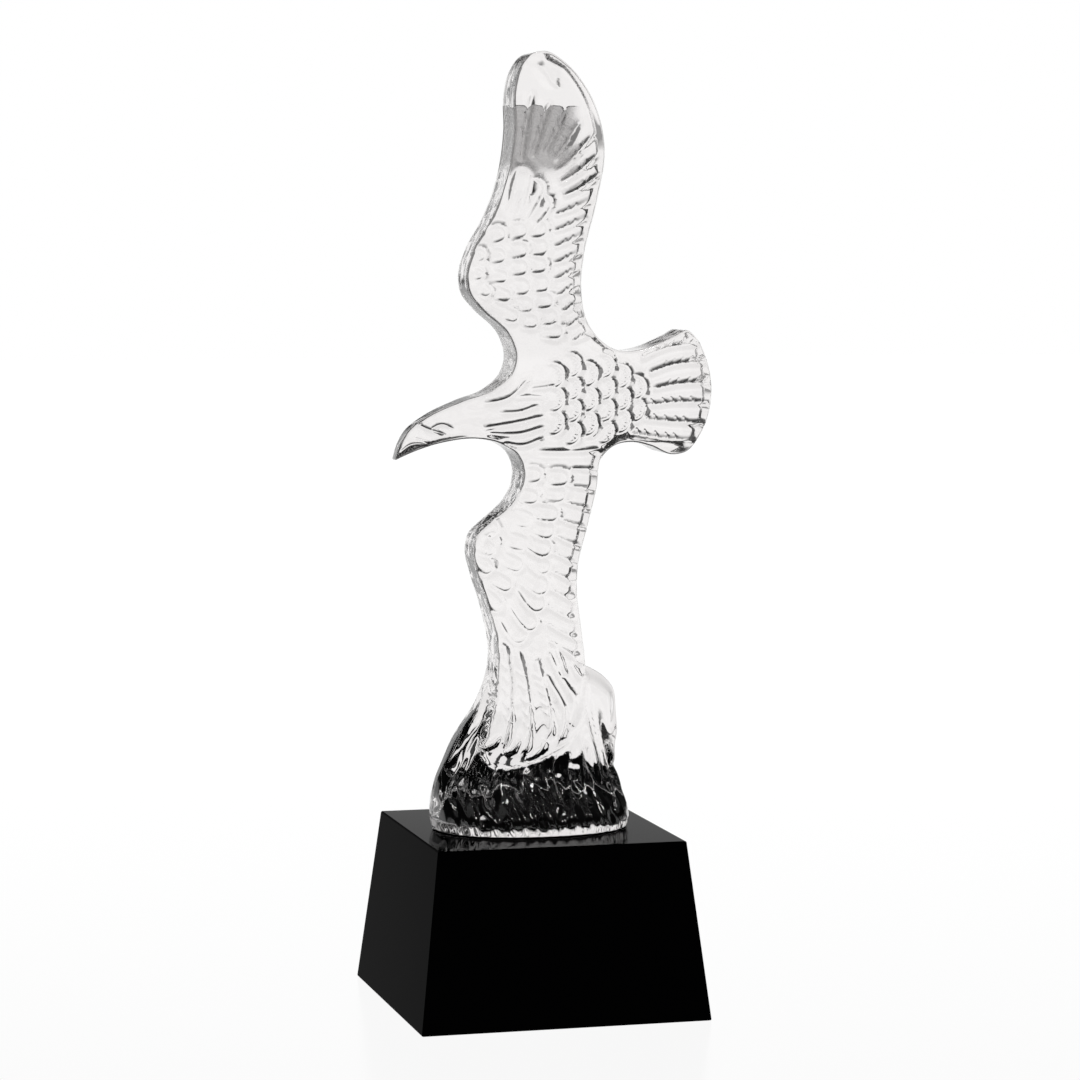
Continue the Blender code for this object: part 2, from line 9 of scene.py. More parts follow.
import bpy
import numpy as np
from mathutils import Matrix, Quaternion, Vector
from mathutils.geometry import delaunay_2d_cdt


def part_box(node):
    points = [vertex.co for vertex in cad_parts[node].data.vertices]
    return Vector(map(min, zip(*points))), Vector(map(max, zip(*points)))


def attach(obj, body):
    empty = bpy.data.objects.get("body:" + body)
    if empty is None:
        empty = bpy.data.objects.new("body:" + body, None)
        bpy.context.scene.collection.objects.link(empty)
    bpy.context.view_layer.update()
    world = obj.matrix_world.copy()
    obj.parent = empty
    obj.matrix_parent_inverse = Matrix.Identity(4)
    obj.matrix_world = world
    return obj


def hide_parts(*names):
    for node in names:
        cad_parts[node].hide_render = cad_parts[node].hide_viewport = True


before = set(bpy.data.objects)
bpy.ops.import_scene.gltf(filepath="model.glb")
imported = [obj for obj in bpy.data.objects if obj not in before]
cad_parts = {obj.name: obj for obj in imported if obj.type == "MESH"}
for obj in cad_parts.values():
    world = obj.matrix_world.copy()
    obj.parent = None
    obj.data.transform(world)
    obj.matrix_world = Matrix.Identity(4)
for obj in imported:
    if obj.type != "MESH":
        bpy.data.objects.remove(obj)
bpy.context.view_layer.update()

# The casting's sizes in metres. Its outline and carving are drawn on a grid of units that share its height,
# with x from the figure's middle and z from its underside, which lies where the frame has it.
EAGLE_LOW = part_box("crystal_eagle")[0]
FIGURE_HEIGHT = 0.269
GRID_HEIGHT = 269.0
UNIT = FIGURE_HEIGHT / GRID_HEIGHT
SLAB_THICKNESS = 0.017
FOOT_DEPTH = 0.054
EDGE_ROUNDING = 0.0009
LEAST_ROUNDING = 0.0008
RIM_ROUNDING = 0.0028
RIM_HEIGHT = 0.0065
GROOVE_DEPTH = 0.0013
FLUTE_DEPTH = 0.0016
DIMPLE_COUNT = 75
DIMPLE_SEED = 11
WING_PROUD_OF_ROCK = 0.0015
BACK_CARVING_SHARE = 0.35

# How finely the surface is meshed, in grid units. A groove narrower than the thin one has closer points.
OUTLINE_STEP = 0.7
FRONT_STEP = 0.8
BACK_STEP = 1.3
WALL_ROWS = 9
THIN_GROOVE = 0.46
THIN_GROOVE_GAP = 0.24
# How many points are measured at a time, which spares memory
POINTS_AT_ONCE = 2000

# The photograph's camera, in degrees, metres and, for its lens, millimetres
CAMERA_AZIMUTH = -15.29
CAMERA_ELEVATION = 5.0
CAMERA_ROLL = 0.22
CAMERA_DISTANCE = 1.239
CAMERA_TARGET = (0.0032, 0.0, 0.1617)
CAMERA_LENS = 118.5

# The studio's white panels: camera azimuth that each lies behind, half width, lower and upper edge,
# softness of its sides and of its top and bottom (all in degrees) and brightness
ROOM_LIGHT = 0.03
PANELS = [
    (-15.3, 9.5, -40.0, 5.5, 13.0, 12.0, 1.0),
    (18.0, 9.0, 2.0, 14.0, 9.0, 8.0, 1.0),
    (0.0, 9.0, -40.0, 5.5, 12.0, 9.0, 1.0),
    (45.0, 10.0, -40.0, 5.5, 12.0, 9.0, 1.0),
    (90.0, 9.5, -40.0, 6.5, 12.0, 9.0, 1.0),
    (-75.0, 12.0, -40.0, 15.0, 16.0, 13.0, 0.5),
    (225.0, 10.0, -40.0, 6.0, 12.0, 9.0, 1.0),
    (195.3, 7.0, -40.0, 20.0, 6.0, 10.0, 0.9),
    (0.0, 180.0, 65.0, 90.0, 12.0, 12.0, 0.35),
    (0.0, 180.0, 84.0, 90.0, 12.0, 2.0, 14.0),
]

# The table glows with painted light in strips along the lines of sight of these cameras, as bright as the
# white panels behind them. Each is widest far away, and the table between them glows less, as painted shade.
LIT_AZIMUTHS = (-15.3, 0.0, 45.0, 90.0, 225.0)
STRIP_HALF_WIDTH = 0.2
STRIP_SPREAD = 0.155
STRIP_FADE = 0.16
TABLE_LIGHT = 1.06
TABLE_SHADE = 0.25
TABLE_SIZE = 12.0
TABLE_GAP = 0.0002
TABLE_MIRROR = 0.12
TABLE_ROUGHNESS = 0.2

# Where the glass behind is crinkled: left, right, low and high edge on the grid, how softly it ends at its
# sides and at its top, how strongly it is crinkled there, and how dull its back is and how much painted shade
# greys it
CRINKLES = [
    (-20.0, 13.0, 231.0, 250.2, 6.0, 0.4, 1.0, 0.75),
    (-26.0, 14.0, 166.0, 182.0, 5.0, 5.0, 0.5, 0.08),
    (-12.0, -6.0, 157.0, 171.0, 1.0, 2.0, 0.7, 0.0),
    (-12.0, -4.0, 111.0, 129.0, 1.0, 2.0, 0.7, 0.0),
]
# The y where the crinkles, and the dullness with its painted shade, are full, and where they have faded out
CRINKLE_FADE = (0.004, -0.004)
DULLNESS_AND_SHADE_FADE = (0.0068, 0.006)

# The glass: colours with the painted shade of its crinkled patches, refraction, the sizes and heights of its
# waves and creases, and how strongly the black base mirrors on its top and on its sides, which the photograph
# shows as almost black
CRYSTAL_IOR = 1.52
CLEAR_TINT = (0.89, 0.872, 0.867, 1.0)
# Painted shade: the grey colour that the glass takes where its back is dull and crinkled
CRINKLED_PAINTED_SHADE = (0.28, 0.27, 0.27, 1.0)
WAVE_SCALE = 180.0
WAVE_HEIGHT = 0.055
CREASE_SCALE = 800.0
CREASE_HEIGHT = 0.5
BLACK_GLASS_IOR = 1.5
BLACK_GLASS = (0.0008, 0.0008, 0.0009, 1.0)
BLACK_CEMENT = (0.002, 0.002, 0.002, 1.0)
TOP_MIRROR = 0.007
SIDE_MIRROR = 0.001
GLOSS_ROUGHNESS = (0.02, 0.07)
GLOSS_SCALE = 45.0

# The outline's stretches on the grid, clockwise round the figure from the beak's tip
CROWN = [
    (-49, 129), (-47.7, 133.5), (-44.5, 139), (-37.6, 144), (-26.3, 149), (-15.5, 153), (-9.5, 158.5),
    (-8, 164),
]
UPPER_LEADING_EDGE = [
    (-10.5, 172), (-19.5, 180.5), (-24, 186), (-25, 192), (-22.5, 201), (-16.5, 211.5), (-11, 225.5),
    (-8.5, 242),
]
UPPER_WING_TIP = [
    (-8.5, 255), (-6.8, 262), (-2.5, 267.8), (2, 269), (10, 265), (17, 257), (21.8, 246.5), (23.7, 235.5),
]
UPPER_TRAILING_EDGE = [
    (21, 218), (16.5, 199.5), (15.5, 189), (18, 176), (22, 170.5), (27, 167), (32.5, 166),
]
TAIL_RIM = [
    (39, 167), (50, 171.5), (54, 173.3), (57, 171), (61, 163.5), (63, 154), (62, 144), (58.5, 136), (54, 131),
    (49, 130), (41, 133), (34, 134.5), (28, 133.5),
]
CROWN_TO_TAIL = CROWN + UPPER_LEADING_EDGE + UPPER_WING_TIP + UPPER_TRAILING_EDGE + TAIL_RIM
LOWER_TRAILING_EDGE = [
    (23.3, 129.5), (21.5, 119), (18, 104.5), (15, 92.5), (14.5, 84), (16, 71), (17.5, 60), (18, 56.5),
]
ROCK_RIGHT = [
    (18, 56.5), (22.5, 54.5), (27, 51.5), (30.3, 47.5), (31.2, 42.5), (30.5, 35.5), (29, 28), (29.6, 22),
    (32, 14.5), (34, 7.5), (34.8, 3), (34.3, 0),
]
ROCK_LEFT = [
    (-35, 0), (-35.8, 4), (-35.3, 11), (-33.8, 17), (-30.8, 23.5), (-27.3, 30.5), (-23.3, 36.5), (-19.3, 42),
    (-16.4, 48), (-14.3, 54.5), (-13.6, 61),
]
LOWER_LEADING_EDGE = [
    (-14.5, 68), (-17.5, 79.5), (-20.8, 89.5), (-22.4, 97), (-21.5, 102), (-16, 107.5), (-9, 113.5),
    (-5.6, 119.5), (-5, 125),
]
THROAT = [(-7.5, 131), (-13, 134.5), (-21, 136.2), (-32.5, 135), (-44, 131.3), (-49, 129)]
# The end of the lower wing, which lies over the rock
WING_OVER_ROCK = [
    (18, 60), (18.5, 48), (16.5, 37), (12, 30), (4, 25.3), (-5.5, 22.5), (-12, 21.5), (-17, 23.3),
    (-19.3, 27.5), (-18, 36), (-15.5, 46), (-14, 60),
]

# The height of the body's middle on the grid
BODY_MIDDLE = 149.5
# The rock under the eagle, up to this height on the grid
ROCK_TOP = 62.0
# How far the rock's middle reaches out at each height, as a share of half the foot's depth: it stands a
# little further out in front than behind.
ROCK_FRONT_REACH = [
    (0, 1.06), (3.5, 1.074), (6.2, 1.036), (9, 0.891), (12, 0.698), (15, 0.542), (20, 0.37), (26, 0.251),
    (34, 0.171), (45, 0.118), (62, 0.075),
]
ROCK_BACK_REACH = [
    (0, 0.926), (8, 0.915), (13, 0.81), (18, 0.66), (23, 0.54), (30, 0.44), (40, 0.33), (50, 0.255),
    (62, 0.19),
]
# How far its sides reach out at least, in front at the left and the right, and behind, as a share of the
# slab's thickness. Less than 0 is behind the figure's middle plane.
ROCK_LEFT_FLOOR = [(0, 0.15), (12, 0.12), (25, -0.04), (40, -0.12), (62, -0.15)]
ROCK_RIGHT_FLOOR = [(0, 0.15), (12, 0.2), (24, 0.38), (34, 0.44), (45, 0.43), (62, 0.4)]
ROCK_BACK_FLOOR = [(0, 0.16), (12, 0.2), (30, 0.36), (50, 0.48), (62, 0.5)]
# How steeply the left side rises from the outline inwards, over this distance on the grid
ROCK_SIDE_SLOPE = 0.7
ROCK_SIDE_WIDTH = 12.0

# A groove's line, its depth as a share of the groove depth, its width to either side of the line, the shares
# of its length over which its ends fade, its kind, and how wide its left starts as a share of its full width.
# A plain groove keeps the deeper of two cuts, a covering one also clears what lies inside it, and a fine one
# is added to the rest.
Groove = namedtuple("Groove", "line depth left right fades kind swell", defaults=("plain", 1.0))


def smooth_step(low, high, value):
    """0 at low, 1 at high, and soft between them. Low may be the larger one."""
    share = np.clip((value - low) / (high - low), 0.0, 1.0)
    return share * share * (3.0 - 2.0 * share)


def smooth_line(points, spacing):
    """A smooth curve through a few points, as points that lie evenly along it."""
    knots = np.array(points, float)
    gaps = np.hypot(*np.diff(knots, axis=0).T)
    slopes = np.diff(knots, axis=0) / gaps[:, None]
    tangents = np.vstack([slopes[:1], slopes[:1].repeat(len(knots) - 2, 0), slopes[-1:]])
    weights = gaps[:-1, None] / (gaps[:-1] + gaps[1:])[:, None]
    tangents[1:-1] = slopes[:-1] * (1 - weights) + slopes[1:] * weights
    t = np.linspace(0, 1, 12, endpoint=False)[:, None]
    pieces = [
        knots[i] * (1 + 2 * t) * (1 - t) ** 2
        + tangents[i] * gap * t * (1 - t) ** 2
        + knots[i + 1] * t * t * (3 - 2 * t)
        + tangents[i + 1] * gap * t * t * (t - 1)
        for i, gap in enumerate(gaps)
    ]
    dense = np.vstack(pieces + [knots[-1:]])
    along = np.append(0.0, np.cumsum(np.hypot(*np.diff(dense, axis=0).T)))
    even = np.linspace(0, along[-1], max(2, round(along[-1] / spacing) + 1))
    return np.column_stack([np.interp(even, along, dense[:, axis]) for axis in (0, 1)])


def measure(x, z, line):
    """Each point's distance to the line, its side (+1 left, -1 right) and how far along the line it lies."""
    start, run = line[:-1], np.diff(line, axis=0)
    length = np.hypot(*run.T)
    before = np.cumsum(length) - length
    off = np.stack([x, z], -1)[:, None] - start
    share = np.clip((off * run).sum(-1) / length**2, 0, 1)
    away = off - share[..., None] * run
    distance = np.hypot(away[..., 0], away[..., 1])
    nearest = distance.argmin(1)
    rows = np.arange(len(x))
    off = off[rows, nearest]
    cross = run[nearest, 0] * off[:, 1] - run[nearest, 1] * off[:, 0]
    along = (before[nearest] + share[rows, nearest] * length[nearest]) / length.sum()
    return distance[rows, nearest], np.where(cross > 0, 1.0, -1.0), along


def distance_to(x, z, line, exact_within=5.0):
    """The distance from each point to a line, exact where it is short."""
    rough = line[np.linspace(0, len(line) - 1, max(2, len(line) // 6)).round().astype(int)]
    result = np.empty(len(x))
    for first in range(0, len(x), POINTS_AT_ONCE):
        part = slice(first, first + POINTS_AT_ONCE)
        result[part] = measure(x[part], z[part], rough)[0]
    close = np.flatnonzero(result < exact_within)
    for first in range(0, len(close), POINTS_AT_ONCE):
        part = close[first : first + POINTS_AT_ONCE]
        result[part] = measure(x[part], z[part], line)[0]
    return result


def depth_inside(x, z, outline):
    """How far inside a closed outline each point is, negative outside it."""
    ends = np.roll(outline, -1, axis=0)
    rise = np.where(ends[:, 1] == outline[:, 1], 1.0, ends[:, 1] - outline[:, 1])
    inside = np.empty(len(x), bool)
    for first in range(0, len(x), POINTS_AT_ONCE):
        part = slice(first, first + POINTS_AT_ONCE)
        px, pz = x[part, None], z[part, None]
        crosses = (outline[:, 1] > pz) != (ends[:, 1] > pz)
        at = outline[:, 0] + (pz - outline[:, 1]) * (ends[:, 0] - outline[:, 0]) / rise
        inside[part] = (crosses & (px < at)).sum(1) % 2 == 1
    return np.where(inside, 1, -1) * distance_to(x, z, np.vstack([outline, outline[:1]]))


def silhouette(step):
    """The casting's closed outline, and the same without its straight underside."""
    first = smooth_line(CROWN_TO_TAIL + LOWER_TRAILING_EDGE, step)
    right = smooth_line(ROCK_RIGHT, step)
    left = smooth_line(ROCK_LEFT, step)
    last = smooth_line(ROCK_LEFT[-1:] + LOWER_LEADING_EDGE + THROAT, step)
    under = smooth_line([ROCK_RIGHT[-1], ROCK_LEFT[0]], step)
    open_line = np.vstack([left[:-1], last[:-1], first[:-1], right])
    return np.vstack([open_line, under[1:-1]]), open_line


def eagle_outline(step):
    """The eagle's own closed outline, with the lower wing's end that lies over the rock."""
    return np.vstack([
        smooth_line(CROWN_TO_TAIL + LOWER_TRAILING_EDGE[:-2], step),
        smooth_line(WING_OVER_ROCK, step),
        smooth_line(LOWER_LEADING_EDGE + THROAT, step)[:-1],
    ])


def even_points(points, count):
    """A number of places spread evenly along the smooth curve through a few points."""
    line = smooth_line(points, 0.5)
    return [tuple(line[round(share * (len(line) - 1))]) for share in np.linspace(0, 1, count)]


def between(guides, count, depth, left, right, fades=(0.15, 0.02), swell=1.0):
    """Grooves that run from one guide curve to the next, side by side."""
    return [
        Groove(smooth_line(points, 1.0), depth, left, right, fades, "plain", swell)
        for points in zip(*[even_points(guide, count) for guide in guides])
    ]


def feather_edge(tip, angle, length, width, depth=1.0, inner=0.6, outer=1.3):
    """The U-shaped edge of a feather that covers what lies under it: angle 0 points to +X, 90 degrees up."""
    turn = np.linspace(math.pi / 2, -math.pi / 2, 11)
    bow = 0.5 * width
    along = np.concatenate([[-length], bow * (np.cos(turn) - 1), [-length]])
    across = np.concatenate([[0.42 * width], 0.5 * width * np.sin(turn), [-0.42 * width]])
    c, s = math.cos(math.radians(angle)), math.sin(math.radians(angle))
    edge = np.column_stack([tip[0] + along * c - across * s, tip[1] + along * s + across * c])
    return Groove(smooth_line(edge, 0.8), depth, outer, inner, (0.25, 0.25), "covering")


def feather_row(tips, count, angles, lengths, widths, depth):
    """Feathers along a curve, the last of them under the first, their angle and size changing along it."""
    chance = Random(count)
    row = []
    for i, tip in enumerate(even_points(tips, count)):
        share = i / (count - 1)
        angle, length, width = (low + (high - low) * share for low, high in (angles, lengths, widths))
        tip = (tip[0] + chance.uniform(-0.5, 0.5), tip[1] + chance.uniform(-0.3, 0.3))
        angle += chance.uniform(-7, 7)
        width *= chance.uniform(0.9, 1.1)
        row.append(feather_edge(tip, angle, length, width, depth * chance.uniform(0.7, 1.1)))
    return row[::-1]


def short_groove(start, angle, length, depth, width=0.45):
    """One straight fine groove with faded ends."""
    c, s = math.cos(math.radians(angle)), math.sin(math.radians(angle))
    line = np.array([(start[0] + reach * c, start[1] + reach * s) for reach in np.linspace(0, length, 5)])
    return Groove(line, depth, width, width, (0.3, 0.3), "fine")


def barbs(grooves, shares, turn, length, depth):
    """Fine grooves that stand on each feather groove at an angle to it."""
    made = []
    for groove in grooves:
        line = groove.line
        for share in shares:
            i = round(share * (len(line) - 2))
            run = line[i + 1] - line[i]
            angle = math.degrees(math.atan2(run[1], run[0])) + turn
            c, s = math.cos(math.radians(angle)), math.sin(math.radians(angle))
            start = line[i] + 0.5 * np.array([c, s])
            made.append(short_groove(start, angle, length, depth))
    return made


def upper_wing():
    """The upper wing's long flight feathers, the shorter ones below them, its coverts and its wrist."""
    flights = between([
        [(-6, 230), (-0.5, 232.5), (4, 233), (6, 226.5), (8.5, 219)],
        [(-4.5, 241), (2, 242), (8, 240.5), (13, 234), (16, 222.5)],
        [(-1.5, 257), (5, 253), (12, 249), (19, 243), (23.5, 228.5)],
    ], 7, 1.3, 1.0, 0.7, (0.1, 0.3))
    secondaries = between([
        [(5, 212.5), (5, 200.5), (5.5, 189), (8, 180.5), (11.5, 169)],
        [(12, 214.5), (11, 201), (10.5, 189.5), (12, 181), (15, 170)],
        [(21, 218.5), (17.5, 203.5), (15.5, 192.5), (16, 183), (20, 172.5)],
    ], 9, 0.7, 2.5, 0.6, (0.1, 0.25), 0.3)
    rows = [
        ([(3.2, 214), (3.8, 204), (4, 192), (6, 182), (9.5, 172.5)], 8, (6, -6), (9, 9), (6, 5.6), 0.8),
        ([(-4, 208), (-3.2, 197), (-2.5, 187), (0, 176)], 6, (8, -8), (8, 8), (5.8, 5.6), 0.8),
        ([(-11.5, 207), (-11.5, 197), (-10, 187), (-7, 178)], 5, (10, -20), (7, 7), (5.2, 5), 0.7),
        ([(-18, 200), (-18.5, 193), (-17, 186)], 3, (20, -35), (5, 5), (4.6, 4.4), 0.6),
    ]
    coverts = [feather for row in rows for feather in feather_row(*row)]
    wrist = [
        feather_edge((3.5, 219.5), 52, 14, 6.5),
        feather_edge((0.5, 225), 62, 18, 6.5),
        feather_edge((-4.8, 229.5), 76, 18, 7),
    ]
    fine = barbs(secondaries, (0.25, 0.45), 38, 3.2, 0.22)
    fine += barbs(flights, (0.35, 0.55), 25, 4, 0.35)
    return flights + secondaries + fine + coverts + wrist


def lower_flights():
    """The lower wing's feathers over the rock: their long edges, the short ones above, their round tips."""
    long_edges = [
        [(-13.4, 66), (-10.9, 63.8), (-10.1, 58.9), (-9.4, 51.9), (-9.7, 45.6), (-9.4, 40), (-10.4, 34.5),
         (-12.2, 27.6)],
        [(-6.9, 63.7), (-5.4, 58.7), (-3.9, 51.7), (-3.2, 46.1), (-2.5, 41.2), (-2.4, 35.6), (-3.1, 30),
         (-4.9, 25.2)],
        [(0.5, 60.6), (1.2, 55.7), (2.7, 50.7), (4.1, 45.1), (5.2, 40.2), (6, 35.9), (6, 31.7)],
        [(3.1, 54.9), (5.6, 50.3), (8.5, 45.6), (10.3, 41.4), (10.7, 37.1), (10, 33), (7.9, 30.2)],
        [(8.9, 53.3), (11.8, 49), (14.4, 45.4), (14.8, 41.9), (14.1, 38.4), (12.3, 34.9)],
    ]
    short_edges = [
        [(10, 63.1), (12.9, 60.2), (16.1, 57.3)],
        [(7.1, 64.6), (9.3, 58.2), (11.1, 53.2)],
        [(4.2, 62.5), (6.4, 57.6), (8.9, 51.9)],
        [(12.5, 58.8), (14.7, 54.5), (16.9, 51.7)],
    ]
    tips = [
        [(-12.6, 33.5), (-15.1, 30.8), (-19.4, 28.5)],
        [(-6.1, 32.2), (-7.5, 29.8), (-9.3, 27.8), (-12.5, 27.2)],
        [(3, 31.9), (2.3, 28.7), (0.1, 26.4), (-4.5, 24.4)],
    ]
    made = [Groove(smooth_line(points, 0.8), 1.1, 0.5, 2.0, (0.08, 0.1)) for points in long_edges]
    made += [Groove(smooth_line(points, 0.8), 1.0, 0.5, 1.4, (0.2, 0.1)) for points in short_edges]
    made += [Groove(smooth_line(points, 0.8), 1.2, 0.8, 1.2, (0.2, 0.2)) for points in tips]
    return made


def lower_wing():
    """The lower wing's flight feathers, the shorter ones above them and its coverts."""
    flights = lower_flights()
    secondaries = between([
        [(11.5, 125.5), (9.5, 114.5), (6.5, 101.5), (5.5, 88.5), (3, 75), (4, 66)],
        [(16.5, 125), (14.5, 112.5), (11, 99.5), (10, 86.5), (9, 71.5), (10.5, 61.5)],
        [(22.5, 124), (20.5, 110.5), (17, 98), (14.5, 84), (15.5, 68), (17.5, 58)],
    ], 11, 0.9, 1.8, 0.5, (0.1, 0.3), 0.4)
    behind = [(11.5, 122.5), (9, 112), (5.5, 101), (4, 90.5), (2.5, 79), (0, 70.5), (-5, 65.5)]
    rows = [
        ([(2, 124), (-1, 106), (-7, 88), (-12.5, 77)], 7, (0, -42), (7, 12), (6.2, 5.6), 0.8),
        (behind, 10, (-2, -58), (10, 17), (6.2, 6.4), 0.8),
        ([(-13.5, 104), (-14.5, 97), (-16.5, 90)], 3, (-20, -50), (6, 8), (6, 5.5), 0.7),
    ]
    coverts = [feather for row in rows for feather in feather_row(*row)]
    fine = barbs(flights[:3], (0.3, 0.42, 0.54, 0.66, 0.78), -140, 5.0, 0.3)
    return flights + secondaries + fine + coverts


def tail():
    """The edges of the tail's feathers, with barbs that lean away from its middle."""
    rays = between([
        [(36.5, 163), (39.5, 157), (41, 151), (38.5, 146), (35.5, 142), (32.5, 137.5)],
        [(47, 167), (50, 159.5), (51, 153), (50, 147), (47.5, 140), (45, 135.5)],
        [(58.5, 168.5), (61.5, 161), (63, 154), (62.5, 147.5), (61, 141), (57, 134.5)],
    ], 6, 1.1, 1.3, 0.8, (0.08, 0.02))
    upper_barbs = barbs(rays[:3], (0.25, 0.4, 0.55, 0.7, 0.85), 45, 3.6, 0.28)
    lower_barbs = barbs(rays[3:], (0.2, 0.35, 0.5, 0.65, 0.8), 135, 3.4, 0.45)
    return rays + upper_barbs + lower_barbs


def body_scales():
    """Round feathers in columns from the tail's root to the neck, each column over the one behind it."""
    columns = [(39, 2, 7.8), (33.5, 3, 7.8), (27.5, 4, 7.6), (21.5, 3, 8.6), (15.5, 4, 7.8), (9.5, 3, 8.2)]
    made = []
    for tip_x, count, pitch in columns:
        for i in range(count):
            tip_z = BODY_MIDDLE + pitch * (i - (count - 1) / 2)
            made.append(feather_edge((tip_x, tip_z), 0, 6.5, 8.2, 1.3, 0.55, 1.0))
            inner_edge = feather_edge((tip_x - 1.3, tip_z), 0, 3.6, 5.8, 0.35, 0.35, 0.35)
            made.append(inner_edge._replace(kind="fine"))
            for turn in (-50, -18, 18, 50):
                c, s = math.cos(math.radians(turn)), math.sin(math.radians(turn))
                start = (tip_x - 3.6 + 0.6 * c, tip_z + 1.2 * s)
                made.append(short_groove(start, turn, 2.0, 0.3, 0.35))
    return made


def neck_and_head():
    """The neck's flowing strands, and the brow, eye, mouth and cheek of the face."""
    strands = [
        ((-20.5, 148), (-10.5, 150), (-2.5, 157.5), 1.0),
        ((-10, 150), (-3, 150.6), (3, 150), 0.8),
        ((-14.5, 145), (-6.5, 145.3), (1.5, 148), 1.1),
        ((-20.5, 139.5), (-9, 141.2), (3.5, 144), 1.3),
        ((-19, 138), (-6.5, 137.6), (4, 140.5), 1.3),
        ((-13.5, 134.8), (-5.5, 133.6), (3, 136.5), 1.2),
        ((-3.5, 153), (2, 153.6), (7, 154.5), 0.7),
        ((-1.5, 131.8), (11, 131.4), (25, 132.2), 1.0),
    ]
    lines = [
        Groove(smooth_line(points, 0.8), depth, 0.8, 0.8, (0.2, 0.2))
        for *points, depth in strands
    ]
    face = [
        ((-43, 142), (-37.5, 139.3), (-31.5, 137.8), 0.8),
        ((-37.5, 139.3), (-33.5, 141.1), (-29, 139.6), 0.7),
        ((-48.3, 131), (-44, 134.2), (-37, 134.2), 0.5),
        ((-43, 136.6), (-40.5, 136), (-36.5, 135), 0.3),
    ]
    lines += [
        Groove(smooth_line(points, 0.5), depth, 0.45, 0.45, (0.15, 0.3))
        for *points, depth in face
    ]
    return lines


def odd_marks():
    """The scoop at the upper tip, the swirl on the lower wing's wrist and the cleft beside the right lump."""
    tip = smooth_line([(-0.8, 265), (3.1, 261), (4.9, 258.3), (7, 257), (8.4, 257.7)], 0.6)
    cleft = smooth_line([(18.5, 56), (17, 50), (15.9, 44.6), (14.5, 40.5), (12.8, 34)], 0.6)
    turn = np.radians(np.linspace(200, -120, 14))
    reach = np.linspace(3.2, 1.4, 14)
    around = np.column_stack([-15.5 + reach * np.cos(turn), 100 + 1.3 * reach * np.sin(turn)])
    swirl = smooth_line(around, 0.5)
    return [
        Groove(tip, 0.9, 3.0, 0.4, (0.2, 0.2)),
        Groove(cleft, 1.6, 1.0, 1.0, (0.2, 0.3)),
        Groove(swirl, 0.6, 0.8, 0.8, (0.2, 0.2)),
    ]


def all_grooves():
    """Every groove of the figure, in the order in which they are cut."""
    return upper_wing() + lower_wing() + tail() + body_scales() + neck_and_head() + odd_marks()


def rock_clefts():
    """The deeper clefts that run down the rock beside its flutes."""
    courses = [
        [(-19, 30), (-21.3, 25.4), (-24.2, 18.5), (-28.1, 10)],
        [(-21.5, 32), (-24.5, 26), (-28, 18), (-31, 11)],
        [(-16.5, 20), (-17.5, 15), (-20, 9)],
        [(17.5, 48), (20.6, 36.1), (23.6, 26.2), (26.9, 13.7)],
        [(20.5, 47), (23.3, 34), (26.2, 24.2), (29.5, 14)],
        [(15.5, 34), (18, 27), (21, 18), (23, 11)],
    ]
    return [Groove(smooth_line(points, 0.8), 2.4, 1.5, 1.1, (0.6, 0.15)) for points in courses]


def dimples(x, z):
    """Shallow round hollows scattered over the front of the rock, as a share of the flute depth."""
    chance = Random(DIMPLE_SEED)
    cut = np.zeros(len(x))
    for _ in range(DIMPLE_COUNT):
        at_x, at_z = chance.uniform(-31, 31), chance.uniform(5, 21)
        radius, depth = chance.uniform(0.8, 1.7), chance.uniform(0.5, 1.5)
        cut += depth * np.exp(-(((x - at_x) ** 2 + ((z - at_z) / 1.4) ** 2) / radius**2))
    return cut


def carving(x, z, grooves):
    """How deep the feather grooves cut at each point, as a share of the groove depth."""
    cut = np.zeros(len(x))
    for groove in grooves:
        reach = 2.2 * max(groove.left, groove.right)
        low, high = groove.line.min(0) - reach, groove.line.max(0) + reach
        near = np.flatnonzero((x > low[0]) & (x < high[0]) & (z > low[1]) & (z < high[1]))
        if not len(near):
            continue
        distance, side, along = measure(x[near], z[near], groove.line)
        start, end = groove.fades
        strength = smooth_step(0, start, along) * smooth_step(0, end, 1 - along)
        width = np.where(side > 0, groove.left * (groove.swell + (1 - groove.swell) * along), groove.right)
        own = groove.depth * strength * np.exp(-((distance / width) ** 2))
        if groove.kind == "covering":
            inside = (side < 0) & (along > 0.01) & (along < 0.99)
            cut[near] *= np.where(inside, 1 - strength * smooth_step(0, 0.6, distance), 1.0)
        cut[near] = cut[near] + own if groove.kind == "fine" else np.maximum(cut[near], own)
    return cut


def slab_depth(x, z):
    """Half the slab's thickness, which thins along the neck to the beak, and a little at the upper tip."""
    away = np.clip((-8 - x) / 42, 0, 1)
    neck = 1.12 * away**2 / (away + 0.12)
    tip = smooth_step(244, 269, z)
    breast = np.exp(-(((x - 10) / 24) ** 2) - ((z - 149) / 17) ** 2)
    return SLAB_THICKNESS / 2 * (1 - 0.6 * neck) * (1 - 0.1 * tip) * (1 + 0.16 * breast)


def profile(z, points):
    """A smooth profile's value at each height, from a few points (height, value)."""
    line = smooth_line(points, 1.0)
    return np.interp(z, line[:, 0], line[:, 1])


def rim_cut(z):
    """What the rounded rim of the foot takes off the surface."""
    share = 1 - np.clip(z * UNIT / RIM_HEIGHT, 0, 1)
    return RIM_ROUNDING * (1 - np.sqrt(1 - share**2))


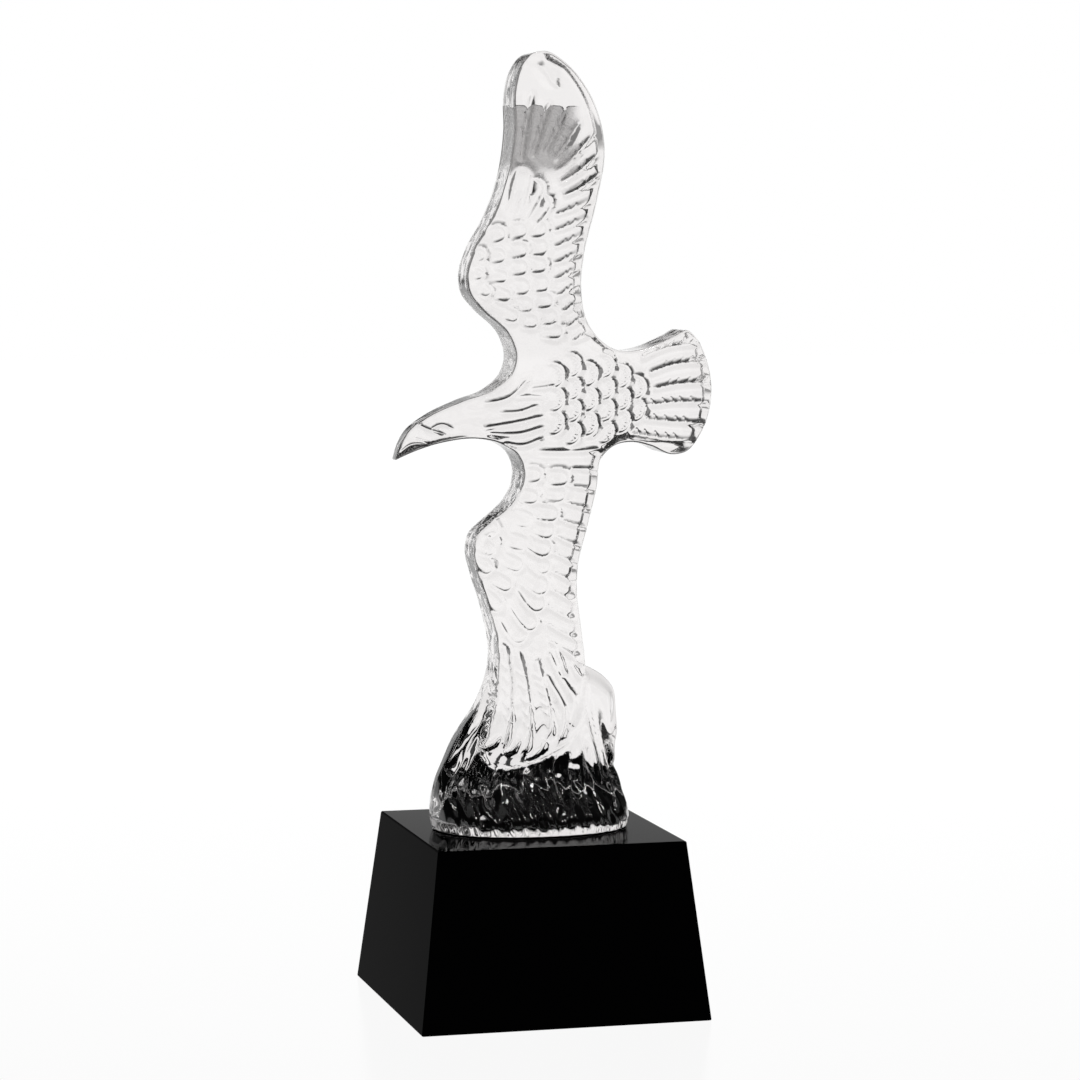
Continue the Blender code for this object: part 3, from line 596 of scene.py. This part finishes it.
def rock_depth(x, z, reach):
    """The fluted rock's surface, an oval in plan whose middle reaches out as far as the profile says."""
    right, left = np.array(ROCK_RIGHT)[::-1], np.array(ROCK_LEFT)
    right_x = np.interp(z, right[:, 1], right[:, 0])
    left_x = np.interp(z, left[:, 1], left[:, 0])
    across = (2 * x - right_x - left_x) / (right_x - left_x)
    oval = (1 - np.clip(np.abs(across), 0, 1) ** 2.3) ** (1 / 2.3)
    bent = across + 0.05 * np.sin(5 * across + z / 19) + 0.04 * np.sin(z / 8)
    flutes = np.abs(np.sin(6.5 * math.pi * bent)) - 0.5
    flutes = flutes + 0.45 * np.abs(np.sin(14.5 * math.pi * bent + z / 11))
    level = smooth_step(-3, 5, z) * (1 - 0.5 * smooth_step(20, 60, z)) * smooth_step(0, 0.5, oval)
    return FOOT_DEPTH / 2 * profile(z, reach) * oval + FLUTE_DEPTH * (flutes - 0.5) * level


def rounding(distance, radius):
    """How much a rounded edge takes off, at each distance from that edge."""
    share = 1 - np.clip(distance / radius, 0, 1)
    return radius * (1 - np.sqrt(1 - share**2))


def edge_cut(z, inside, depth):
    """What the rounded outline and the rounded rim of the foot take off the surface."""
    radius = np.clip(0.6 * depth, LEAST_ROUNDING, EDGE_ROUNDING)
    return np.minimum(rounding(inside * UNIT, radius) + rim_cut(z), np.maximum(0.75 * depth, radius))


def front_depth(x, z, inside, inside_eagle, cut):
    """How far the front lies before the middle plane: the wing over the rock, and the eagle above it."""
    proud = WING_PROUD_OF_ROCK * (1 - smooth_step(-4, 14, x)) * smooth_step(64, 46, z)
    wing = slab_depth(x, z) + proud - GROOVE_DEPTH * cut
    right = smooth_step(-12, 12, x)
    floor = (1 - right) * profile(z, ROCK_LEFT_FLOOR) + right * profile(z, ROCK_RIGHT_FLOOR)
    ground = SLAB_THICKNESS * floor
    side_rise = ROCK_SIDE_SLOPE * UNIT * np.clip(inside, 0, ROCK_SIDE_WIDTH)
    ground += side_rise * (1 - right) * smooth_step(8, 20, z)
    shoulder = 0.45 * SLAB_THICKNESS * smooth_step(16, 20, x) * smooth_step(30, 42, z)
    shoulder *= smooth_step(5, 0, inside)
    rock = np.maximum(rock_depth(x, z, ROCK_FRONT_REACH), ground) - shoulder
    rock -= FLUTE_DEPTH * (carving(x, z, rock_clefts()) + dimples(x, z))
    on_wing = np.maximum(smooth_step(-0.6, 0.9, inside_eagle), smooth_step(ROCK_TOP - 8, ROCK_TOP, z))
    depth = rock + on_wing * np.maximum(wing - rock, 0)
    return depth - edge_cut(z, inside, depth)


def back_depth(x, z, inside, cut):
    """How far the back lies behind the middle plane, plainer than the front."""
    slab = slab_depth(x, z) - BACK_CARVING_SHARE * GROOVE_DEPTH * cut
    ground = np.minimum(slab, SLAB_THICKNESS * profile(z, ROCK_BACK_FLOOR))
    rock = rock_depth(x, np.minimum(z, ROCK_TOP - 2), ROCK_BACK_REACH)
    depth = np.where(z < ROCK_TOP, np.maximum(ground, rock), slab)
    return depth - edge_cut(z, inside, depth)


def thin_out(layers):
    """Keeps each layer's points that stay clear of the points kept before them by that layer's gap."""
    kept, cells, size = [], {}, max(gap for _, gap in layers)
    for points, gap in layers:
        for x, z in points:
            column, row = math.floor(x / size), math.floor(z / size)
            close = (
                near
                for i in (-1, 0, 1)
                for j in (-1, 0, 1)
                for near in cells.get((column + i, row + j), ())
            )
            if all((x - near_x) ** 2 + (z - near_z) ** 2 >= gap * gap for near_x, near_z in close):
                kept.append((x, z))
                cells.setdefault((column, row), []).append((x, z))
    return kept


def beside(line, by):
    """A line's points moved to its left by a distance, or to its right by a negative one."""
    run = np.gradient(line, axis=0)
    run /= np.hypot(*run.T)[:, None]
    return line + by * np.column_stack([-run[:, 1], run[:, 0]])


def inset(outline, by):
    """The outline's points moved inwards, without those that come too near another stretch of it."""
    run = np.roll(outline, -1, axis=0) - np.roll(outline, 1, axis=0)
    run /= np.hypot(*run.T)[:, None]
    moved = outline + by * np.column_stack([run[:, 1], -run[:, 0]])
    return moved[depth_inside(moved[:, 0], moved[:, 1], outline) > 0.9 * by]


def refined(line):
    """The same line with points about as close as a thin groove needs."""
    return smooth_line(line, 0.25)


def face_points(outline, step, grooves):
    """Points inside the outline: along its edge, along the grooves, and spread evenly over the rest."""
    rings = [inset(outline, share * EDGE_ROUNDING / UNIT) for share in (0.06, 0.2, 0.42, 0.7, 1.0)]
    rows = math.ceil(GRID_HEIGHT / (step * math.sqrt(0.75)))
    grid = np.array([
        ((i + 0.5 * (j % 2)) * step, (j + 0.5) * step * math.sqrt(0.75))
        for j in range(rows)
        for i in range(round(-60 / step), round(70 / step))
    ])
    middles = [groove.line for groove in grooves]
    sides = [beside(groove.line, by) for groove in grooves for by in (0.8 * groove.left, -0.8 * groove.right)]
    carved = np.vstack(middles + sides) if grooves else grid[:0]
    thin = [groove for groove in grooves if max(groove.left, groove.right) < THIN_GROOVE]
    traced = [beside(refined(groove.line), by) for groove in thin for by in (0, -0.3, 0.3, -0.6, 0.6)]
    traced = np.vstack(traced) if traced else grid[:0]
    layers = []
    for points, gap in ((traced, THIN_GROOVE_GAP), (carved, 0.45 * step), (grid, 0.6 * step)):
        deep = depth_inside(points[:, 0], points[:, 1], outline) > 1.1 * EDGE_ROUNDING / UNIT
        layers.append((points[deep], gap))
    layers = [(outline, 0.0)] + [(ring, 0.2 * step) for ring in rings] + layers
    return thin_out(layers)[len(outline) :]


def face_mesh(outline, step, grooves):
    """A flat triangle mesh inside the outline, whose first points are the outline's."""
    points = [tuple(point) for point in outline] + face_points(outline, step, grooves)
    ring = list(range(len(outline)))
    made = delaunay_2d_cdt([tuple(map(float, point)) for point in points], [], [ring], 1, 1e-7)
    return np.array([tuple(point) for point in made[0]]), [tuple(face) for face in made[2]]


def outward_order(flat, triangles, front):
    """The triangles' corners, turned so that the front's face -Y and the back's +Y."""
    corners = np.array(triangles)
    a, b, c = (flat[corners[:, i]] for i in range(3))
    area = (b[:, 0] - a[:, 0]) * (c[:, 1] - a[:, 1]) - (b[:, 1] - a[:, 1]) * (c[:, 0] - a[:, 0])
    turned = (area > 0) != front
    corners[turned] = corners[turned][:, ::-1]
    return [tuple(map(int, face)) for face in corners]


def surface_points(flat, side_line, eagle, grooves, front):
    """The front's or the back's points in metres, from those of its flat mesh."""
    x, z = flat.T
    inside = distance_to(x, z, side_line)
    inside[: len(side_line)] = 0.0
    cut = carving(x, z, grooves)
    if front:
        depth = -front_depth(x, z, inside, depth_inside(x, z, eagle), cut)
    else:
        depth = back_depth(x, z, inside, cut)
    return np.column_stack([x * UNIT, depth, z * UNIT + EAGLE_LOW.z])


def casting_mesh():
    """The closed mesh of the eagle and its rock: a carved front, a plainer back and the wall between."""
    outline, side_line = silhouette(OUTLINE_STEP)
    eagle = eagle_outline(OUTLINE_STEP)
    grooves = all_grooves()
    count = len(outline)
    surfaces, faces = [], []
    for front in (True, False):
        flat, triangles = face_mesh(outline, FRONT_STEP if front else BACK_STEP, grooves if front else [])
        first = 0 if front else len(surfaces[0])
        surfaces.append(surface_points(flat, side_line, eagle, grooves, front))
        faces += [tuple(first + corner for corner in face) for face in outward_order(flat, triangles, front)]

    front_edge, back_edge = (points[:count] for points in surfaces)
    shares = [i / WALL_ROWS for i in range(1, WALL_ROWS)]
    wall = [front_edge + share * (back_edge - front_edge) for share in shares]
    back_start = len(surfaces[0])
    wall_start = back_start + len(surfaces[1])
    row_starts = [0] + [wall_start + i * count for i in range(len(wall))] + [back_start]
    underside = []
    for near, far in zip(row_starts, row_starts[1:]):
        for i in range(count):
            after = (i + 1) % count
            if i >= len(side_line) - 1:
                underside.append(len(faces))
            faces.append((near + i, near + after, far + after, far + i))

    mesh = bpy.data.meshes.new("eagle_casting")
    mesh.from_pydata(np.vstack(surfaces + wall).tolist(), [], faces)
    mesh.shade_smooth()
    for face in underside:
        mesh.polygons[face].material_index = 1
        mesh.polygons[face].use_smooth = False
    return mesh


def new_material(name):
    """A material with its nodes, their links and its shader."""
    material = bpy.data.materials.new(name)
    material.use_nodes = True
    nodes = material.node_tree.nodes
    return material, nodes, material.node_tree.links, nodes["Principled BSDF"]


def chain(nodes, links, operation, *inputs, kind="ShaderNodeMath"):
    """A maths node whose inputs are numbers or other nodes' outputs, and its output."""
    node = nodes.new(kind)
    node.operation = operation
    for socket, value in zip(node.inputs, inputs):
        if isinstance(value, bpy.types.NodeSocket):
            links.new(value, socket)
        else:
            socket.default_value = value
    return node.outputs["Value"]


def largest(nodes, links, values):
    """The greatest of several nodes' outputs."""
    result = values[0]
    for value in values[1:]:
        result = chain(nodes, links, "MAXIMUM", result, value)
    return result


def fade(nodes, links, value, full, none):
    """1 where a value is at full or beyond, 0 where it is at none or beyond, soft between them."""
    node = nodes.new("ShaderNodeMapRange")
    node.interpolation_type = "SMOOTHSTEP"
    node.inputs["From Min"].default_value = min(full, none)
    node.inputs["From Max"].default_value = max(full, none)
    node.inputs["To Min"].default_value = 1.0 if full < none else 0.0
    node.inputs["To Max"].default_value = 0.0 if full < none else 1.0
    links.new(value, node.inputs["Value"])
    return node.outputs["Result"]


def box_share(nodes, links, x, z, box):
    """1 inside a soft-edged box on the figure's grid, 0 outside it."""
    left, right, low, high, soft, soft_top = box
    share = fade(nodes, links, x, left, left - soft)
    for value, full, none in ((x, right, right + soft), (z, low, low - soft), (z, high, high + soft_top)):
        edge = fade(nodes, links, value, full, none)
        share = chain(nodes, links, "MULTIPLY", share, edge)
    return share


def clear_crystal():
    """Clear moulded glass with the mould's faint waves, crinkled in places, with painted shade that greys its
    colour where its back is dull.
    """
    material, nodes, links, shader = new_material("clear_crystal")
    shader.inputs["IOR"].default_value = CRYSTAL_IOR
    shader.inputs["Transmission Weight"].default_value = 1.0
    place = nodes.new("ShaderNodeTexCoord").outputs["Object"]
    split = nodes.new("ShaderNodeSeparateXYZ")
    links.new(place, split.inputs["Vector"])
    x = chain(nodes, links, "DIVIDE", split.outputs["X"], UNIT)
    z = chain(nodes, links, "DIVIDE", chain(nodes, links, "SUBTRACT", split.outputs["Z"], EAGLE_LOW.z), UNIT)
    strengths, dullness_and_shade_parts = [], []
    for *box, strength, dullness_and_shade in CRINKLES:
        share = box_share(nodes, links, x, z, box)
        strengths.append(chain(nodes, links, "MULTIPLY", share, strength))
        dullness_and_shade_parts.append(chain(nodes, links, "MULTIPLY", share, dullness_and_shade))
    behind = fade(nodes, links, split.outputs["Y"], *CRINKLE_FADE)
    crinkled = chain(nodes, links, "MULTIPLY", largest(nodes, links, strengths), behind)
    far_behind = fade(nodes, links, split.outputs["Y"], *DULLNESS_AND_SHADE_FADE)
    dull_and_shaded = chain(nodes, links, "MULTIPLY", largest(nodes, links, dullness_and_shade_parts), far_behind)
    links.new(dull_and_shaded, shader.inputs["Roughness"])
    # Painted shade: the colour turns from the clear tint to a grey where the back is dull
    painted_shade_mix = nodes.new("ShaderNodeMix")
    painted_shade_mix.data_type = "RGBA"
    painted_shade_mix.inputs["A"].default_value = CLEAR_TINT
    painted_shade_mix.inputs["B"].default_value = CRINKLED_PAINTED_SHADE
    links.new(dull_and_shaded, painted_shade_mix.inputs["Factor"])
    links.new(painted_shade_mix.outputs["Result"], shader.inputs["Base Color"])
    waves = nodes.new("ShaderNodeTexNoise")
    waves.inputs["Scale"].default_value = WAVE_SCALE
    waves.inputs["Detail"].default_value = 1.0
    links.new(place, waves.inputs["Vector"])
    creases = nodes.new("ShaderNodeTexNoise")
    creases.inputs["Scale"].default_value = CREASE_SCALE
    creases.inputs["Detail"].default_value = 2.0
    links.new(place, creases.inputs["Vector"])
    wave_height = chain(nodes, links, "MULTIPLY", waves.outputs["Fac"], WAVE_HEIGHT)
    crinkled_creases = chain(nodes, links, "MULTIPLY", creases.outputs["Fac"], crinkled)
    crease_height = chain(nodes, links, "MULTIPLY", crinkled_creases, CREASE_HEIGHT)
    bump = nodes.new("ShaderNodeBump")
    bump.inputs["Distance"].default_value = 0.001
    links.new(chain(nodes, links, "ADD", wave_height, crease_height), bump.inputs["Height"])
    links.new(bump.outputs["Normal"], shader.inputs["Normal"])
    return material


def cemented_underside():
    """The foot's underside, where it is cemented to the black base and lets no light back."""
    material, nodes, links, shader = new_material("cemented_underside")
    shader.inputs["Base Color"].default_value = BLACK_CEMENT
    shader.inputs["Roughness"].default_value = 0.5
    shader.inputs["Specular IOR Level"].default_value = 0.0
    return material


def black_crystal(name, mirror_strength):
    """Polished black glass with the faintest unevenness in its gloss."""
    material, nodes, links, shader = new_material(name)
    shader.inputs["Base Color"].default_value = BLACK_GLASS
    shader.inputs["IOR"].default_value = BLACK_GLASS_IOR
    shader.inputs["Specular IOR Level"].default_value = mirror_strength
    place = nodes.new("ShaderNodeTexCoord")
    cloud = nodes.new("ShaderNodeTexNoise")
    cloud.inputs["Scale"].default_value = GLOSS_SCALE
    cloud.inputs["Detail"].default_value = 4.0
    gloss = nodes.new("ShaderNodeMapRange")
    gloss.inputs["To Min"].default_value, gloss.inputs["To Max"].default_value = GLOSS_ROUGHNESS
    links.new(place.outputs["Object"], cloud.inputs["Vector"])
    links.new(cloud.outputs["Fac"], gloss.inputs["Value"])
    links.new(gloss.outputs["Result"], shader.inputs["Roughness"])
    return material


def add_casting():
    """The finely carved casting, in place of the frame's plainer one."""
    casting = bpy.data.objects.new("eagle_casting", casting_mesh())
    bpy.context.scene.collection.objects.link(casting)
    for material in (clear_crystal(), cemented_underside()):
        casting.data.materials.append(material)
    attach(casting, "root")
    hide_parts("crystal_eagle")


def dress_base():
    """The frame's own base in black glass, its top with the stronger mirror."""
    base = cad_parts["black_base"]
    base.data.materials.clear()
    base.data.materials.append(black_crystal("black_crystal", TOP_MIRROR))
    base.data.materials.append(black_crystal("black_crystal_side", SIDE_MIRROR))
    for face in base.data.polygons:
        face.material_index = 0 if face.normal.z > 0.5 else 1


def sight(azimuth):
    """Level directions ahead and to the right for a camera at this azimuth that looks at the object."""
    turn = math.radians(azimuth)
    return (-math.sin(turn), math.cos(turn), 0.0), (math.cos(turn), math.sin(turn), 0.0)


def split_by_sight(nodes, links, place, azimuth):
    """How far a place or direction lies ahead and to the right of a line of sight."""
    return [
        chain(nodes, links, "DOT_PRODUCT", place, way, kind="ShaderNodeVectorMath")
        for way in sight(azimuth)
    ]


def add_floor():
    """A white table that glows with painted strips of light and painted shade between them, which shows a
    faint mirror image of the base.
    """
    bpy.ops.mesh.primitive_plane_add(size=TABLE_SIZE, location=(0, 0, -TABLE_GAP))
    floor = bpy.context.object
    floor.name = "floor"
    material = bpy.data.materials.new("white_table")
    material.use_nodes = True
    nodes, links = material.node_tree.nodes, material.node_tree.links
    nodes.clear()
    place = nodes.new("ShaderNodeTexCoord").outputs["Object"]
    strips = []
    for azimuth in LIT_AZIMUTHS:
        ahead, right = split_by_sight(nodes, links, place, azimuth)
        edge = chain(nodes, links, "MULTIPLY_ADD", ahead, STRIP_SPREAD, STRIP_HALF_WIDTH)
        beyond = chain(nodes, links, "SUBTRACT", chain(nodes, links, "ABSOLUTE", right), edge)
        strips.append(fade(nodes, links, beyond, 0.0, STRIP_FADE))
    lit = largest(nodes, links, strips)
    # Painted light: the table's own glow, bright in the strips and dim, as painted shade, between them
    strength = chain(nodes, links, "MULTIPLY_ADD", lit, TABLE_LIGHT - TABLE_SHADE, TABLE_SHADE)
    glow = nodes.new("ShaderNodeEmission")
    links.new(strength, glow.inputs["Strength"])
    mirror = nodes.new("ShaderNodeBsdfGlossy")
    mirror.inputs["Roughness"].default_value = TABLE_ROUGHNESS
    mirror.inputs["Color"].default_value = (1, 1, 1, 1)
    mix = nodes.new("ShaderNodeMixShader")
    mix.inputs["Fac"].default_value = TABLE_MIRROR
    out = nodes.new("ShaderNodeOutputMaterial")
    links.new(glow.outputs["Emission"], mix.inputs[1])
    links.new(mirror.outputs["BSDF"], mix.inputs[2])
    links.new(mix.outputs["Shader"], out.inputs["Surface"])
    floor.data.materials.append(material)


def add_world():
    """A dim studio with white panels round it, which the glass bends into its grey and black edges."""
    world = bpy.data.worlds.new("studio")
    bpy.context.scene.world = world
    world.use_nodes = True
    nodes, links = world.node_tree.nodes, world.node_tree.links
    place = nodes.new("ShaderNodeTexCoord").outputs["Generated"]
    split = nodes.new("ShaderNodeSeparateXYZ")
    links.new(place, split.inputs["Vector"])
    height = chain(nodes, links, "ARCSINE", split.outputs["Z"])
    lights = []
    for azimuth, *angles, brightness in PANELS:
        half_width, low, high, side_fade, top_fade = (math.radians(angle) for angle in angles)
        ahead, right = split_by_sight(nodes, links, place, azimuth)
        turn = chain(nodes, links, "ABSOLUTE", chain(nodes, links, "ARCTAN2", right, ahead))
        share = fade(nodes, links, turn, half_width, half_width + side_fade)
        for full, none in ((high, high + top_fade), (low, low - top_fade)):
            share = chain(nodes, links, "MULTIPLY", share, fade(nodes, links, height, full, none))
        lights.append(chain(nodes, links, "MULTIPLY", share, brightness))
    light = chain(nodes, links, "MAXIMUM", largest(nodes, links, lights), ROOM_LIGHT)
    links.new(light, nodes["Background"].inputs["Color"])


def add_camera():
    """The photograph's view."""
    azimuth, elevation = math.radians(CAMERA_AZIMUTH), math.radians(CAMERA_ELEVATION)
    back = Vector((
        math.sin(azimuth) * math.cos(elevation),
        -math.cos(azimuth) * math.cos(elevation),
        math.sin(elevation),
    ))
    camera = bpy.data.objects.new("camera", bpy.data.cameras.new("camera"))
    bpy.context.scene.collection.objects.link(camera)
    camera.location = Vector(CAMERA_TARGET) + back * CAMERA_DISTANCE
    roll = Quaternion((0, 0, 1), math.radians(CAMERA_ROLL))
    camera.rotation_euler = (back.to_track_quat("Z", "Y") @ roll).to_euler()
    camera.data.lens = CAMERA_LENS
    camera.data.clip_end = 50
    bpy.context.scene.camera = camera


bpy.context.scene.view_settings.view_transform = "Standard"
add_casting()
dress_base()
add_floor()
add_world()
add_camera()
